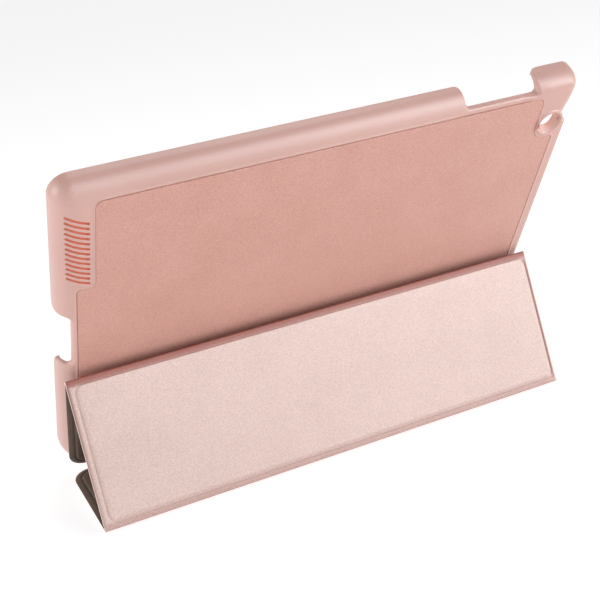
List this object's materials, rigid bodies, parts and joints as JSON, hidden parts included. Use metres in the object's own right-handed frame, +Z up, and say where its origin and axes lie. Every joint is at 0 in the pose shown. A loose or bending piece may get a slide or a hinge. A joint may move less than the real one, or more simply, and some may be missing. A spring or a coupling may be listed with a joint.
{
  "type": "tablet case",
  "caption": "Hard tablet case with a leather inlay and a tri-fold cover, folded behind it as a triangular stand.",
  "frame": {"origin": "middle of the case's box, on the surface that it stands on", "axes": "+X along the hinge, to the right as seen from behind the case; +Z up; the back of the shell and the folded stand face -Y, the tablet's screen side faces +Y"},
  "size_m": [0.246, 0.1072, 0.169],
  "materials": {
    "shell_plastic": "satin pearl rose gold, moulded",
    "inlay_leather": "fine-grained rose leather with a faint metallic lustre",
    "cover_leather": "fine-grained pale rose leather",
    "liner_microfibre": "brushed brown microfibre",
    "stiffener_board": "plain fibre board",
    "magnet_nickel": "nickel plated",
    "keeper_steel": "rolled steel strip"
  },
  "bodies": {
    "shell": {"back_shell": "shell_plastic", "back_skin": "inlay_leather", "hinge_crease": "cover_leather"},
    "spine": {"spine_skin": "cover_leather", "spine_board": "stiffener_board", "spine_liner": "liner_microfibre", "spine_crease": "cover_leather"},
    "panel_1": {"panel_1_skin": "cover_leather", "panel_1_board": "stiffener_board", "panel_1_liner": "liner_microfibre", "keeper_plate": "keeper_steel", "ridge_crease": "cover_leather"},
    "panel_2": {"panel_2_skin": "cover_leather", "panel_2_board": "stiffener_board", "panel_2_liner": "liner_microfibre", "foot_crease": "cover_leather"},
    "panel_3": {"panel_3_skin": "cover_leather", "panel_3_board": "stiffener_board", "panel_3_liner": "liner_microfibre", "latch_magnet_1": "magnet_nickel", "latch_magnet_2": "magnet_nickel", "latch_magnet_3": "magnet_nickel", "latch_magnet_4": "magnet_nickel", "wake_magnet": "magnet_nickel"}
  },
  "joints": [
    {"name": "cover_swing", "type": "hinge", "parent": "shell", "child": "spine", "pos_m": [0, 0.04279, 0.0012], "axis": [1, 0, 0], "range_deg": [0, 250]},
    {"name": "spine_fold", "type": "hinge", "parent": "spine", "child": "panel_1", "pos_m": [0, 0.03036, 0.01078], "axis": [1, 0, 0], "range_deg": [0, 112.8]},
    {"name": "ridge_fold", "type": "hinge", "parent": "panel_1", "child": "panel_2", "pos_m": [0, -0.00103, 0.06587], "axis": [1, 0, 0], "range_deg": [-131.9, 0]},
    {"name": "foot_fold", "type": "hinge", "parent": "panel_2", "child": "panel_3", "pos_m": [0, -0.0227, 0.0012], "axis": [1, 0, 0], "range_deg": [-114.5, 0]}
  ],
  "couplings": [
    {"joint": "spine_fold", "follows": "cover_swing", "ratio": 0.4508},
    {"joint": "ridge_fold", "follows": "cover_swing", "ratio": -0.5272},
    {"joint": "foot_fold", "follows": "cover_swing", "ratio": -0.4576}
  ]
}
